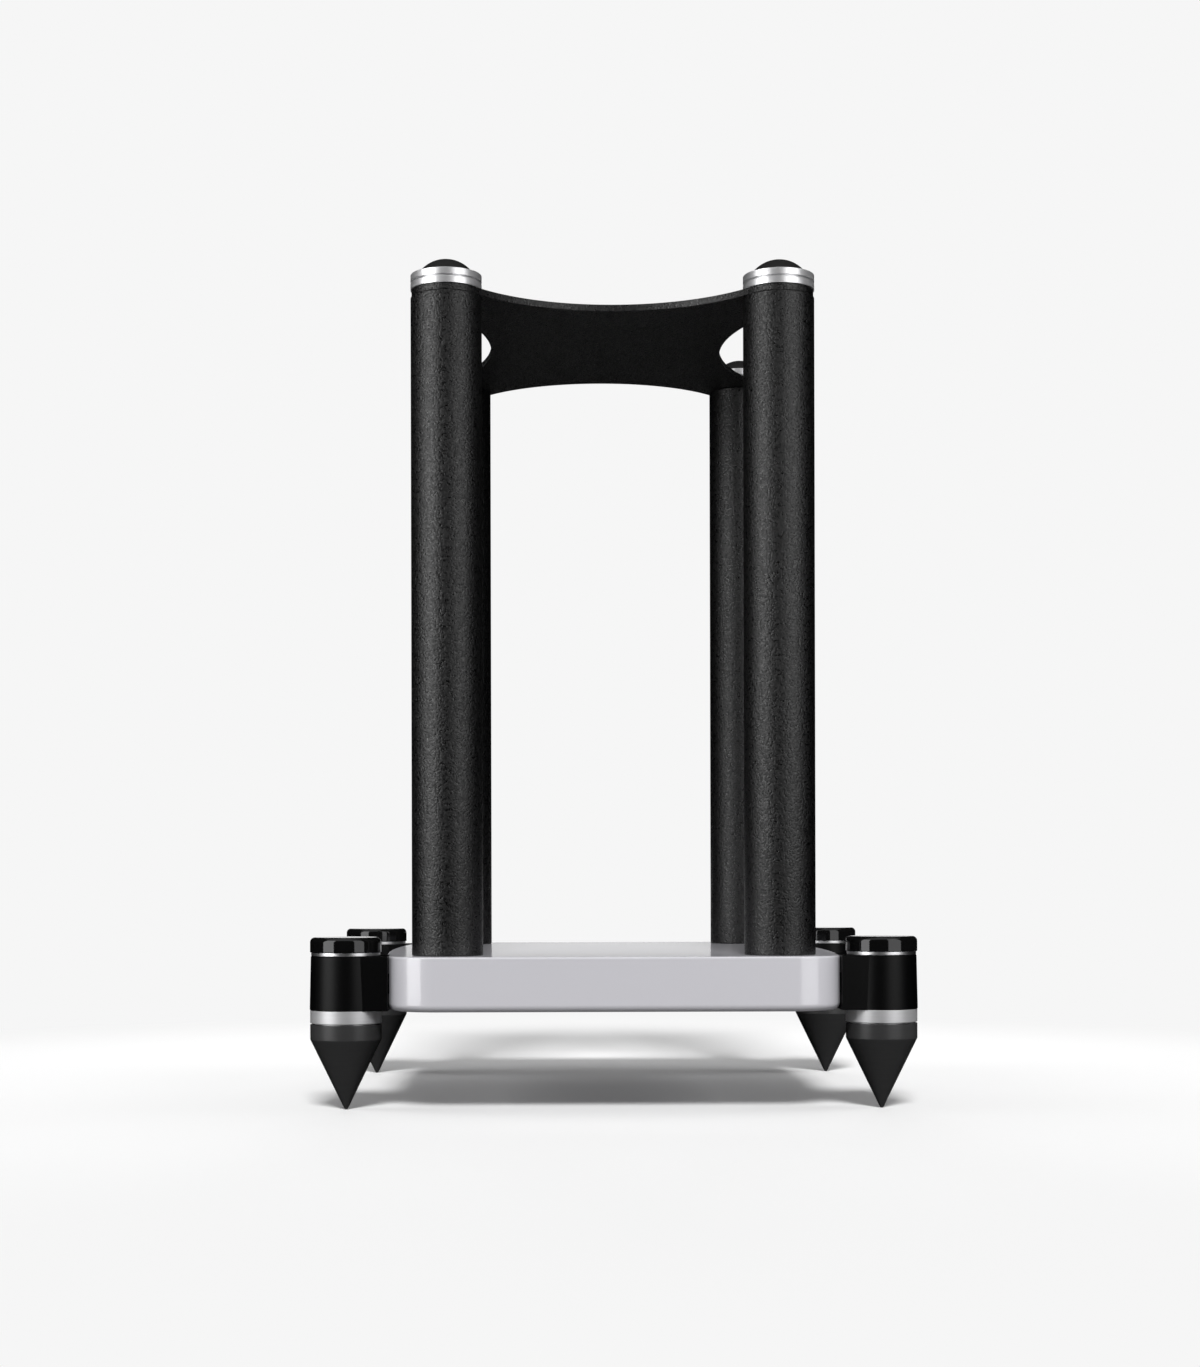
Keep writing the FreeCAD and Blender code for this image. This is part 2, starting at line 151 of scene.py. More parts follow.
class StudioSettings(bpy.types.PropertyGroup):
    left_power: bpy.props.FloatProperty(
        name="Left panel", description="Light of the tall left panel", default=14.5, unit="POWER")
    right_power: bpy.props.FloatProperty(
        name="Right panel", description="Light of the tall right panel", default=7.4, unit="POWER")
    overhead_power: bpy.props.FloatProperty(
        name="Overhead panel", description="Light of the large panel overhead", default=11.0, unit="POWER")
    fill_power: bpy.props.FloatProperty(
        name="Fill panels", description="Light of each panel at the sides and the rear", default=22.0,
        unit="POWER")
    key_strength: bpy.props.FloatProperty(
        name="Key light", description="Strength of the soft key light in front and above", default=3.3,
        min=0.0)
    backdrop: bpy.props.FloatProperty(
        name="Backdrop", description="Grey level of the background, 1 for white", default=0.9216, max=1.0)
    room_light: bpy.props.FloatProperty(
        name="Room light", description="Level of the light from all round", default=0.02, min=0.0)


# ---- bmesh helpers ----
def turned(profile, closed=False):
    """Turned shape about Z from (radius, height) points."""
    bm = bmesh.new()
    points = [bm.verts.new((r, 0.0, z)) for r, z in profile]
    edges = [bm.edges.new(pair) for pair in zip(points, points[1:] + points[:1] * closed)]
    bmesh.ops.spin(bm, geom=points + edges, axis=(0, 0, 1), cent=(0, 0, 0), dvec=(0, 0, 0),
                   angle=FULL_TURN, steps=ROUND_SEGMENTS, use_merge=True)
    bmesh.ops.remove_doubles(bm, verts=bm.verts, dist=0.001 * MM)
    return bm


def rings(bm, radius, level):
    """Edges of the ring at a radius and a level."""
    def on_ring(v):
        return abs(v.co.xy.length - radius) < NEAR and abs(v.co.z - level) < NEAR
    return [e for e in bm.edges if all(on_ring(v) for v in e.verts)]


def edges_at(bm, level):
    """Edges that lie at a level."""
    return [e for e in bm.edges if all(abs(v.co.z - level) < NEAR for v in e.verts)]


def new_verts(made):
    return [v for v in made["geom"] if isinstance(v, bmesh.types.BMVert)]


def recess(bm, level, places, radius, depth):
    """Round recesses up into the flat underside, at each place and its mirror images."""
    flat = [f for f in bm.faces if all(abs(v.co.z - level) < NEAR for v in f.verts)]
    outline = {e for e in edges_at(bm, level) if any(f not in flat for f in e.link_faces)}
    bmesh.ops.delete(bm, geom=flat, context="FACES")
    rims = []
    for x, y in places:
        for sx, sy in ((1, 1), (-1, 1), (1, -1), (-1, -1)):
            circle = bmesh.ops.create_circle(bm, segments=64, radius=radius, cap_ends=False,
                                             matrix=Matrix.Translation((sx * x, sy * y, level)))
            rims += {e for v in circle["verts"] for e in v.link_edges}
    bmesh.ops.triangle_fill(bm, edges=list(outline) + rims, use_beauty=True, use_dissolve=False)
    walls = bmesh.ops.extrude_edge_only(bm, edges=rims)
    bmesh.ops.translate(bm, verts=new_verts(walls), vec=(0, 0, depth))
    closed_ends(bm)


def rounded(bm, edges, size, segments):
    bmesh.ops.bevel(bm, geom=edges, offset=size, offset_type="OFFSET", segments=segments,
                    profile=0.5, affect="EDGES", material=-1)


def keep_between(bm, low, high):
    """Cuts off what lies below one level or above another."""
    for level, side in ((low, -1), (high, 1)):
        geom = bm.verts[:] + bm.edges[:] + bm.faces[:]
        bmesh.ops.bisect_plane(bm, geom=geom, dist=0.0001 * MM, plane_co=(0, 0, level),
                               plane_no=(0, 0, side), clear_outer=True)


def helix(radius, depth, pitch, low, high):
    """Right-handed thread between two levels, cut off flat at both ends and open there."""
    bm = bmesh.new()
    steps = 48
    start = low - pitch
    outline = [(radius - depth, 0.0), (radius, 0.4), (radius, 0.6), (radius - depth, 1.0)]
    points = [bm.verts.new((r, 0.0, start + share * pitch)) for r, share in outline]
    edges = [bm.edges.new(pair) for pair in zip(points, points[1:])]
    bmesh.ops.spin(bm, geom=points + edges, axis=(0, 0, 1), cent=(0, 0, 0),
                   dvec=(0, 0, pitch / steps), angle=FULL_TURN, steps=steps)
    first_turn = bm.verts[:] + bm.edges[:] + bm.faces[:]
    for turn in range(1, math.ceil((high - low) / pitch) + 1):
        copied = bmesh.ops.duplicate(bm, geom=first_turn)
        bmesh.ops.translate(bm, verts=new_verts(copied), vec=(0, 0, turn * pitch))
    bmesh.ops.remove_doubles(bm, verts=bm.verts, dist=0.002 * MM)
    keep_between(bm, low, high)
    return bm


def closed_ends(bm):
    """Fills the open rims at the lowest and highest level."""
    open_edges = [e for e in bm.edges if e.is_boundary]
    bmesh.ops.holes_fill(bm, edges=open_edges, sides=0)
    return bm


def add_piece(name, bm, axis, body, nodes, material):
    """Moves the shape to its place, makes it an object, ties it to its body and hides the nodes it stands in
    for.
    """
    bmesh.ops.translate(bm, verts=bm.verts, vec=axis)
    bmesh.ops.recalc_face_normals(bm, faces=bm.faces)
    mesh = bpy.data.meshes.new(name)
    bm.to_mesh(mesh)
    bm.free()
    mesh.shade_smooth()
    mesh.set_sharp_from_angle(angle=math.radians(35))
    mesh.materials.append(material)
    piece = bpy.data.objects.new(name, mesh)
    bpy.context.scene.collection.objects.link(piece)
    weighted = piece.modifiers.new("flat faces stay flat", "WEIGHTED_NORMAL")
    weighted.keep_sharp = True
    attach(piece, body)
    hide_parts(*nodes)


def keep_node(name, material):
    """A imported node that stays, with its own material."""
    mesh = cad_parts[name].data
    mesh.materials.clear()
    mesh.materials.append(material)


# ---- node helpers ----
def add_node(tree, kind, inputs=None, **settings):
    made = tree.nodes.new(kind)
    for key, value in settings.items():
        setattr(made, key, value)
    for key, value in (inputs or {}).items():
        if isinstance(value, bpy.types.NodeSocket):
            tree.links.new(value, made.inputs[key])
        else:
            made.inputs[key].default_value = value
    return made


def math_node(tree, operation, *values):
    return add_node(tree, "ShaderNodeMath", dict(enumerate(values)), operation=operation).outputs[0]


def new_group(name, inputs, outputs):
    """Empty shader group with its sockets, and what is given to it and asked of it."""
    tree = bpy.data.node_groups.new(name, "ShaderNodeTree")
    for socket, kind, default in inputs:
        made = tree.interface.new_socket(name=socket, in_out="INPUT", socket_type=kind)
        if default is not None:
            made.default_value = default
    for socket in outputs:
        tree.interface.new_socket(name=socket, in_out="OUTPUT", socket_type="NodeSocketFloat")
    return tree, tree.nodes.new("NodeGroupInput").outputs, tree.nodes.new("NodeGroupOutput").inputs


def use_group(tree, group, **inputs):
    made = add_node(tree, "ShaderNodeGroup")
    made.node_tree = group
    for key, value in inputs.items():
        socket = made.inputs[key.replace("_", " ")]
        if isinstance(value, bpy.types.NodeSocket):
            tree.links.new(value, socket)
        else:
            socket.default_value = value
    return made.outputs


def grain_group():
    """Fine irregular grain, for coats, lacquer and rubber."""
    name = "fine grain"
    if name in bpy.data.node_groups:
        return bpy.data.node_groups[name]
    tree, given, result = new_group(
        name, [("Position", "NodeSocketVector", None), ("Scale", "NodeSocketFloat", 1000.0)],
        ["Height"])
    noise = add_node(tree, "ShaderNodeTexNoise", {
        "Vector": given["Position"], "Scale": given["Scale"], "Detail": 2.0, "Roughness": 0.6})
    contrast = add_node(tree, "ShaderNodeMapRange", {"Value": noise.outputs["Fac"], "From Min": GRAIN_LOW,
                                                     "From Max": GRAIN_HIGH})
    tree.links.new(contrast.outputs[0], result["Height"])
    return tree


def turning_group():
    """Fine rings left by a lathe on a piece that stands at one of the four corners."""
    name = "turning marks"
    if name in bpy.data.node_groups:
        return bpy.data.node_groups[name]
    tree, given, result = new_group(
        name, [("Position", "NodeSocketVector", None), ("Axis", "NodeSocketVector", None),
               ("Scale", "NodeSocketFloat", 3000.0)], ["Height", "Mask"])
    one_corner = add_node(tree, "ShaderNodeVectorMath", {0: given["Position"]}, operation="ABSOLUTE")
    offset = add_node(tree, "ShaderNodeVectorMath", {0: one_corner.outputs[0], 1: given["Axis"]},
                      operation="SUBTRACT").outputs[0]
    parts = add_node(tree, "ShaderNodeSeparateXYZ", {0: offset}).outputs
    radius = math_node(tree, "SQRT", math_node(
        tree, "ADD", math_node(tree, "MULTIPLY", parts[0], parts[0]),
        math_node(tree, "MULTIPLY", parts[1], parts[1])))
    around = math_node(tree, "MULTIPLY", math_node(tree, "ARCTAN2", parts[1], parts[0]), ROUND_SHARE)
    place = add_node(tree, "ShaderNodeCombineXYZ", {0: radius, 1: parts[2], 2: around}).outputs[0]
    ring = add_node(tree, "ShaderNodeTexNoise", {
        "Vector": place, "Scale": given["Scale"], "Detail": 3.0, "Roughness": 0.7})
    band = add_node(tree, "ShaderNodeTexNoise", {
        "Vector": place, "Scale": math_node(tree, "MULTIPLY", given["Scale"], BAND_SHARE),
        "Detail": 1.0})
    tree.links.new(ring.outputs["Fac"], result["Height"])
    tree.links.new(band.outputs["Fac"], result["Mask"])
    return tree


def new_material(name, **surface):
    """Material with a Principled surface, its tree and its object position."""
    material = bpy.data.materials.new(name)
    material.use_nodes = True
    tree = material.node_tree
    shader = tree.nodes["Principled BSDF"]
    for key, value in surface.items():
        shader.inputs[key.replace("_", " ")].default_value = value
    position = add_node(tree, "ShaderNodeTexCoord").outputs["Object"]
    return material, tree, shader, position


def spread(tree, value, low, high):
    """Turns a 0 to 1 value into one between two limits."""
    return add_node(tree, "ShaderNodeMapRange", {"Value": value, "To Min": low, "To Max": high}).outputs[0]


def varied_colour(tree, mask, colour, change):
    """The colour, darker and lighter by a share where the mask says."""
    darker = [c * (1 - change) for c in colour] + [1.0]
    lighter = [min(1.0, c * (1 + change)) for c in colour] + [1.0]
    return add_node(tree, "ShaderNodeMix", {0: mask, 6: darker, 7: lighter}, data_type="RGBA").outputs[2]


def fine_bump(tree, shader, height, strength, distance):
    bump = add_node(tree, "ShaderNodeBump", {"Height": height, "Strength": strength, "Distance": distance})
    tree.links.new(bump.outputs[0], shader.inputs["Normal"])


def grained(name, colour, scale, change, roughness, bump, **surface):
    """Coat, paint or rubber with fine grain."""
    if name in bpy.data.materials:
        return bpy.data.materials[name]
    material, tree, shader, position = new_material(name, **surface)
    grain = use_group(tree, grain_group(), Position=position, Scale=scale)
    tree.links.new(varied_colour(tree, grain["Height"], colour, change), shader.inputs["Base Color"])
    tree.links.new(spread(tree, grain["Height"], *roughness), shader.inputs["Roughness"])
    fine_bump(tree, shader, grain["Height"], *bump)
    return material


def machined(name, colour, axis, scale, change, roughness, bump, **surface):
    """Metal with rings from the lathe."""
    if name in bpy.data.materials:
        return bpy.data.materials[name]
    material, tree, shader, position = new_material(name, **surface)
    marks = use_group(tree, turning_group(), Position=position, Axis=axis, Scale=scale)
    tree.links.new(varied_colour(tree, marks["Mask"], colour, change), shader.inputs["Base Color"])
    tree.links.new(spread(tree, marks["Height"], *roughness), shader.inputs["Roughness"])
    fine_bump(tree, shader, marks["Height"], *bump)
    return material


# ---- finishes ----
def slab_lacquer():
    return grained("silver-grey lacquer", bpy.context.scene.stand_colours.slab, scale=2600.0, change=0.01,
                   roughness=(0.35, 0.39), bump=(0.05, 0.01 * MM), Coat_Weight=0.8, Coat_Roughness=0.1)


def powder_coat():
    return grained("black powder coat", bpy.context.scene.stand_colours.coat, scale=660.0, change=0.6,
                   roughness=(0.16, 0.64), bump=(1.0, 0.28 * MM))


def body_paint():
    return grained("satin black paint", bpy.context.scene.stand_colours.body, scale=1500.0, change=0.1,
                   roughness=(0.37, 0.43), bump=(0.06, 0.02 * MM), Specular_IOR_Level=0.15)


def dome_rubber():
    return grained("black dome rubber", bpy.context.scene.stand_colours.rubber, scale=1800.0, change=0.3,
                   roughness=(0.58, 0.68), bump=(0.2, 0.02 * MM), Specular_IOR_Level=0.25)


def polished_aluminium():
    return machined("fine-turned aluminium", (0.8, 0.8, 0.81), COLUMN_AXIS, scale=5000.0, change=0.03,
                    roughness=(0.33, 0.43), bump=(0.1, 0.02 * MM), Metallic=0.85)


def plug_aluminium():
    return machined("raw turned aluminium", (0.7, 0.7, 0.72), COLUMN_AXIS, scale=2500.0, change=0.08,
                    roughness=(0.35, 0.5), bump=(0.3, 0.05 * MM), Metallic=1.0)


def collar_steel():
    return machined("brushed collar steel", (0.56, 0.56, 0.57), FOOT_AXIS, scale=4200.0, change=0.06,
                    roughness=(0.38, 0.52), bump=(0.15, 0.03 * MM), Metallic=0.6)


def spike_steel():
    return machined("blackened spike steel", bpy.context.scene.stand_colours.spike, FOOT_AXIS, scale=3600.0,
                    change=0.1, roughness=(0.3, 0.38), bump=(0.12, 0.03 * MM), Specular_IOR_Level=0.3)


def rim_chrome():
    return machined("bright rim chrome", (0.6, 0.6, 0.61), FOOT_AXIS, scale=5200.0, change=0.02,
                    roughness=(0.3, 0.4), bump=(0.05, 0.01 * MM), Metallic=1.0)


def cap_chrome():
    return machined("black cap chrome", (0.026, 0.026, 0.0265), FOOT_AXIS, scale=6000.0, change=0.03,
                    roughness=(0.05, 0.08), bump=(0.02, 0.01 * MM), Metallic=0.85)


def stud_zinc():
    return machined("zinc-plated steel", (0.55, 0.56, 0.58), FOOT_AXIS, scale=2000.0, change=0.1,
                    roughness=(0.3, 0.45), bump=(0.1, 0.03 * MM), Metallic=1.0)


def insert_brass():
    return machined("turned brass", (0.75, 0.58, 0.28), FOOT_AXIS, scale=2400.0, change=0.06,
                    roughness=(0.22, 0.34), bump=(0.1, 0.03 * MM), Metallic=1.0)


# ---- outlines in plan ----
def trace(bm, arcs):
    """Chain of arcs in plan, each from its start round its centre."""
    for start, centre, angle, steps in arcs:
        point = bm.verts.new(start)
        bmesh.ops.spin(bm, geom=[point], axis=(0, 0, 1), cent=centre, dvec=(0, 0, 0), angle=angle,
                       steps=steps)


def mirrored_slab(bm, height):
    """Solid of a height from the quarter outline that is already there."""
    for axis in ("X", "Y"):
        bmesh.ops.mirror(bm, geom=bm.verts[:] + bm.edges[:], matrix=Matrix.Identity(4), axis=axis,
                         merge_dist=0.001 * MM)
    bmesh.ops.remove_doubles(bm, verts=bm.verts, dist=0.005 * MM)
    bmesh.ops.contextual_create(bm, geom=bm.edges[:])
    raised = bmesh.ops.extrude_face_region(bm, geom=bm.faces[:])
    bmesh.ops.translate(bm, verts=new_verts(raised), vec=(0, 0, height))


def slab_quarter(bm, sizes, high, level):
    """Half of the straight front edge, the round corner and half of the bowed side."""
    corner_r, bow_r = sizes.slab_corner, sizes.slab_bow
    corner = Vector((high.x - corner_r, corner_r - high.y, level))
    reach = math.sqrt((bow_r - corner_r) ** 2 - corner.y ** 2)
    side_centre = Vector((corner.x - reach, 0.0, level))
    lean = math.atan2(-corner.y, reach)
    front_end = corner - Vector((0.0, corner_r, 0.0))
    side_end = corner + Vector((math.cos(lean), -math.sin(lean), 0.0)) * corner_r
    trace(bm, ((front_end, corner, FULL_TURN / 4 - lean, 24), (side_end, side_centre, lean, 16)))
    middle = bm.verts.new((0.0, -high.y, level))
    bm.verts.ensure_lookup_table()
    bm.edges.new((middle, bm.verts[0]))


def plate_apexes():
    """How far the hollow front edge and the hollow side edge stand from the middle."""
    points = [v.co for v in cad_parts["top_plate"].data.vertices]
    front = max(p.y for p in points if abs(p.x) < MIDDLE_STRIP)
    side = max(p.x for p in points if abs(p.y) < MIDDLE_STRIP)
    return front, side


def hollow_radius(half, depth, corner_r):
    """Radius of the hollow edge that runs smoothly into a round corner on each side."""
    return (half ** 2 + depth ** 2 - corner_r ** 2) / (2 * (depth + corner_r))


def plate_quarter(bm, corner, corner_r, level):
    """Half of the front edge, the round corner and half of the side edge."""
    front, side = plate_apexes()
    front_r = hollow_radius(corner.x, -corner.y - front, corner_r)
    side_r = hollow_radius(-corner.y, corner.x - side, corner_r)
    front_centre = Vector((0.0, -front - front_r, level))
    side_centre = Vector((side + side_r, 0.0, level))
    front_way, side_way = corner - front_centre, corner - side_centre
    front_end = front_centre + front_way.normalized() * front_r
    side_end = side_centre + side_way.normalized() * side_r
    arcs = (
        ((0.0, -front, level), front_centre, -math.atan2(front_way.x, front_way.y), 40),
        (front_end, corner, FULL_TURN - front_way.angle(side_way), 72),
        (side_end, side_centre, -math.atan2(-side_way.y, -side_way.x), 40),
    )
    trace(bm, arcs)


# ---- studio ----
def add_light(name, kind, place, energy, way):
    """Light at a place that shines one way and that the camera doesn't see."""
    data = bpy.data.lights.new(name, kind)
    data.energy = energy
    light = bpy.data.objects.new(name, data)
    light.location = place
    light.rotation_euler = Vector(way).to_track_quat("-Z", "Y").to_euler()
    light.visible_camera = False
    bpy.context.scene.collection.objects.link(light)
    return light


def grey(level):
    return (level, level, level, 1.0)


def stage_piece(name, bm):
    """Stage piece with its own material; gives the piece and its tree."""
    mesh = bpy.data.meshes.new(name)
    bm.to_mesh(mesh)
    bm.free()
    piece = bpy.data.objects.new(name, mesh)
    bpy.context.scene.collection.objects.link(piece)
    material = bpy.data.materials.new(name)
    material.use_nodes = True
    mesh.materials.append(material)
    return piece, material.node_tree


def seen_directly(tree):
    """1 for what the camera, a gloss or glass sees, and 0 for light that falls on a matt surface."""
    rays = add_node(tree, "ShaderNodeLightPath").outputs
    mirrored = math_node(tree, "MAXIMUM", rays["Is Glossy Ray"], rays["Is Transmission Ray"])
    return math_node(tree, "MAXIMUM", rays["Is Camera Ray"], mirrored)


def make_floor(studio):
    """Pale floor that takes the shadow and runs into the background's grey further out."""
    bm = bmesh.new()
    bmesh.ops.create_grid(bm, x_segments=1, y_segments=1, size=FLOOR_SIZE)
    _, tree = stage_piece("studio_floor", bm)
    paint = tree.nodes["Principled BSDF"]
    paint.inputs["Roughness"].default_value = 1.0
    paint.inputs["Specular IOR Level"].default_value = 0.0
    direct = seen_directly(tree)
    paint_colour = add_node(tree, "ShaderNodeMix", {0: direct, 6: grey(FLOOR_BOUNCE), 7: grey(FLOOR_PAINT)},
                            data_type="RGBA")
    tree.links.new(paint_colour.outputs[2], paint.inputs["Base Color"])
    far = add_node(tree, "ShaderNodeEmission", {"Color": grey(studio.backdrop), "Strength": direct})
    position = add_node(tree, "ShaderNodeTexCoord").outputs["Object"]
    distance = add_node(tree, "ShaderNodeVectorMath", {0: position}, operation="LENGTH").outputs["Value"]
    blend = add_node(tree, "ShaderNodeMapRange", {"Value": distance, "From Min": FLOOR_NEAR,
                                                  "From Max": FLOOR_FAR}, interpolation_type="SMOOTHSTEP")
    share = math_node(tree, "MULTIPLY", blend.outputs[0], direct)
    mixed = add_node(tree, "ShaderNodeMixShader", {0: share, 1: paint.outputs[0], 2: far.outputs[0]})
    tree.links.new(mixed.outputs[0], tree.nodes["Material Output"].inputs["Surface"])


def make_flags():
    """Black flags round and below the stand, which keep its dark finishes dark, with a gap at the rear."""
    bm = bmesh.new()
    bmesh.ops.create_cube(bm, size=1.0, matrix=Matrix.LocRotScale((FLAG_LOW + FLAG_HIGH) / 2, None,
                                                                  FLAG_HIGH - FLAG_LOW))
    for place, way in ((GAP_LOW, "X"), (GAP_HIGH, "X"), (GAP_LOW, "Z"), (GAP_HIGH, "Z")):
        rear = [f for f in bm.faces if f.normal.y > 0.5]
        geom = rear + list({e for f in rear for e in f.edges}) + list({v for f in rear for v in f.verts})
        bmesh.ops.bisect_plane(bm, geom=geom, plane_co=place, plane_no=(way == "X", 0, way == "Z"))

    def in_gap(f):
        middle = f.calc_center_median()
        return f.normal.y > 0.5 and GAP_LOW.x < middle.x < GAP_HIGH.x and GAP_LOW.z < middle.z < GAP_HIGH.z
    open_faces = [f for f in bm.faces if f.normal.z > 0.5 or in_gap(f)]
    bmesh.ops.delete(bm, geom=open_faces, context="FACES_ONLY")
    flags, tree = stage_piece("studio_flags", bm)
    cloth = tree.nodes["Principled BSDF"]
    cloth.inputs["Base Color"].default_value = grey(FLAG_BLACK)
    cloth.inputs["Roughness"].default_value = 1.0
    cloth.inputs["Specular IOR Level"].default_value = 0.0
    flags.visible_camera = flags.visible_diffuse = flags.visible_shadow = False


def make_room(studio):
    """World that is pale grey where it is seen and that lights the stand dimly from all round."""
    world = bpy.data.worlds.new("studio_room")
    bpy.context.scene.world = world
    world.use_nodes = True
    tree = world.node_tree
    room = tree.nodes["Background"]
    room.inputs["Color"].default_value = (1, 1, 1, 1)
    room.inputs["Strength"].default_value = studio.room_light
    seen = add_node(tree, "ShaderNodeBackground", {"Color": grey(studio.backdrop)})
    mixed = add_node(tree, "ShaderNodeMixShader", {0: seen_directly(tree), 1: room.outputs[0],
                                                   2: seen.outputs[0]})
    tree.links.new(mixed.outputs[0], tree.nodes["World Output"].inputs["Surface"])


def make_lights(studio):
    """Upright panels that only make highlights, and soft lights that make none."""
    powers = {"left": studio.left_power, "right": studio.right_power}
    for side, place in PANEL_PLACES.items():
        panel = add_light(f"{side}_panel", "AREA", place, powers[side], (-place[0], -place[1], 0.0))
        panel.data.shape = "RECTANGLE"
        panel.data.size, panel.data.size_y = PANEL_WIDTH, PANEL_HEIGHT
        panel.visible_diffuse = False
    overhead = add_light("overhead_panel", "AREA", (0.0, 0.0, OVERHEAD_HEIGHT), studio.overhead_power,
                         (0, 0, -1))
    overhead.data.size = OVERHEAD_SIZE
    overhead.visible_glossy = False
    key = add_light("key_light", "SUN", -Vector(KEY_WAY), studio.key_strength, KEY_WAY)
    key.data.angle = math.radians(KEY_SPREAD)
    key.visible_glossy = False
    for side, place in FILL_PLACES.items():
        fill = add_light(f"{side}_fill", "AREA", place, studio.fill_power, (-place[0], -place[1], -FILL_DROP))
        fill.data.size = FILL_SIZE
        fill.visible_glossy = False


def make_camera(context):
    """Camera at the photograph's place, turned by its small yaw and roll."""
    data = bpy.data.cameras.new("stand_camera")
    (width, height), (centre_x, centre_y) = PHOTO_SIZE, PICTURE_CENTRE
    data.sensor_width = 36.0
    data.lens = FOCAL_LENGTH * data.sensor_width / height
    data.shift_x = (width / 2 - centre_x) / height
    data.shift_y = (centre_y - height / 2) / height
    data.clip_start, data.clip_end = 0.05, 100.0
    camera = bpy.data.objects.new("stand_camera", data)
    context.scene.collection.objects.link(camera)
    turn = Matrix.Rotation(CAMERA_YAW, 4, "Z") @ Matrix.Rotation(CAMERA_ROLL, 4, "Y")
    upright = Matrix.Rotation(math.radians(90), 4, "X")
    camera.matrix_world = Matrix.Translation(CAMERA_PLACE) @ turn @ upright
    context.scene.camera = camera


# ---- operators, one for each group of like pieces ----
class DressColumns(bpy.types.Operator):
    """Powder-coated column tubes with softened ends"""
    bl_idname = "stand.columns"
    bl_label = "Column tubes"

    def execute(self, context):
        sizes = context.scene.stand_sizes
        for corner in CORNERS:
            node = f"column_tube_{corner}"
            low, high, r, axis = span(node)
            inner = r - sizes.tube_wall
            bm = turned([(inner, low), (r, low), (r, high), (inner, high)], closed=True)
            rounded(bm, rings(bm, r, low) + rings(bm, r, high), sizes.tube_edge, 3)
            add_piece(f"coated_column_{corner}", bm, axis, "stand_frame", [node], powder_coat())
        return {"FINISHED"}


class DressSlab(bpy.types.Operator):
    """Lacquered base slab with round corners, bowed sides and softened edges"""
    bl_idname = "stand.slab"
    bl_label = "Base slab"

    def execute(self, context):
        sizes = context.scene.stand_sizes
        low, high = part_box("base_slab")
        bm = bmesh.new()
        slab_quarter(bm, sizes, high, low.z)
        mirrored_slab(bm, high.z - low.z)
        for level, size, segments in ((high.z, sizes.slab_top_edge, 4), (low.z, sizes.slab_bottom_edge, 8)):
            rounded(bm, edges_at(bm, level), size, segments)
        x, y = COLUMN_AXIS.xy
        screws_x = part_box("outrigger_screws")[1].x - SCREW_HEAD_R
        screws = [(screws_x, y - SCREW_SPREAD), (screws_x, y + SCREW_SPREAD)]
        recess(bm, low.z, [(x, y)], BOLT_RECESS_R, BOLT_RECESS_DEPTH)
        recess(bm, low.z, screws, SCREW_RECESS_R, SCREW_RECESS_DEPTH)
        add_piece("lacquered_slab", bm, (0, 0, 0), "stand_frame", ["base_slab"], slab_lacquer())
        return {"FINISHED"}


class DressPlate(bpy.types.Operator):
    """Powder-coated top plate with four hollow edges"""
    bl_idname = "stand.plate"
    bl_label = "Top plate"

    def execute(self, context):
        low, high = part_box("top_plate")
        corner = Vector((COLUMN_AXIS.x, -COLUMN_AXIS.y, low.z))
        bm = bmesh.new()
        plate_quarter(bm, corner, high.x - corner.x, low.z)
        mirrored_slab(bm, high.z - low.z)
        rims = [e for e in bm.edges if abs(e.verts[0].co.z - e.verts[1].co.z) < NEAR]
        rounded(bm, rims, context.scene.stand_sizes.plate_edge, 3)
        add_piece("coated_top_plate", bm, (0, 0, 0), "stand_frame", ["top_plate"], powder_coat())
        return {"FINISHED"}


class DressDiscs(bpy.types.Operator):
    """Polished clamp discs and the pad cups that stand on them"""
    bl_idname = "stand.discs"
    bl_label = "Bright discs"

    def execute(self, context):
        edge = context.scene.stand_sizes.disc_edge
        for corner in CORNERS:
            clamp, cup, dome = (f"{name}_{corner}" for name in ("clamp_disc", "pad_cup", "dome_pad"))
            low, top, r, axis = span(clamp)
            seat = span(cup)[0]
            bm = turned([(TOP_SCREW_HOLE_R, low), (r, low), (r, top), (REGISTER_R, top), (REGISTER_R, seat),
                         (TOP_SCREW_HEAD_R, seat), (TOP_SCREW_HOLE_R, seat - TOP_SCREW_SINK)], closed=True)
            rounded(bm, rings(bm, r, top), edge, 3)
            add_piece(f"polished_clamp_disc_{corner}", bm, axis, "stand_frame", [clamp],
                      polished_aluminium())
            foot, low, top = span(cup)[0], span(clamp)[1], span(cup)[1]
            seat, seat_r = span(dome)[0], span(dome)[2] + DOME_GAP
            boss = REGISTER_R - FIT_GAP
            groove, waist = low + SEAM_HEIGHT, r - SEAM_DEPTH
            bm = turned([(0, foot), (boss, foot), (boss, low), (waist, low), (waist, groove), (r, groove),
                         (r, top), (seat_r, top), (seat_r, seat), (0, seat)])
            rounded(bm, rings(bm, r, top) + rings(bm, seat_r, top), edge, 3)
            rounded(bm, rings(bm, r, groove), edge / 4, 2)
            add_piece(f"polished_pad_cup_{corner}", bm, axis, "stand_frame", [cup],
                      polished_aluminium())
        return {"FINISHED"}


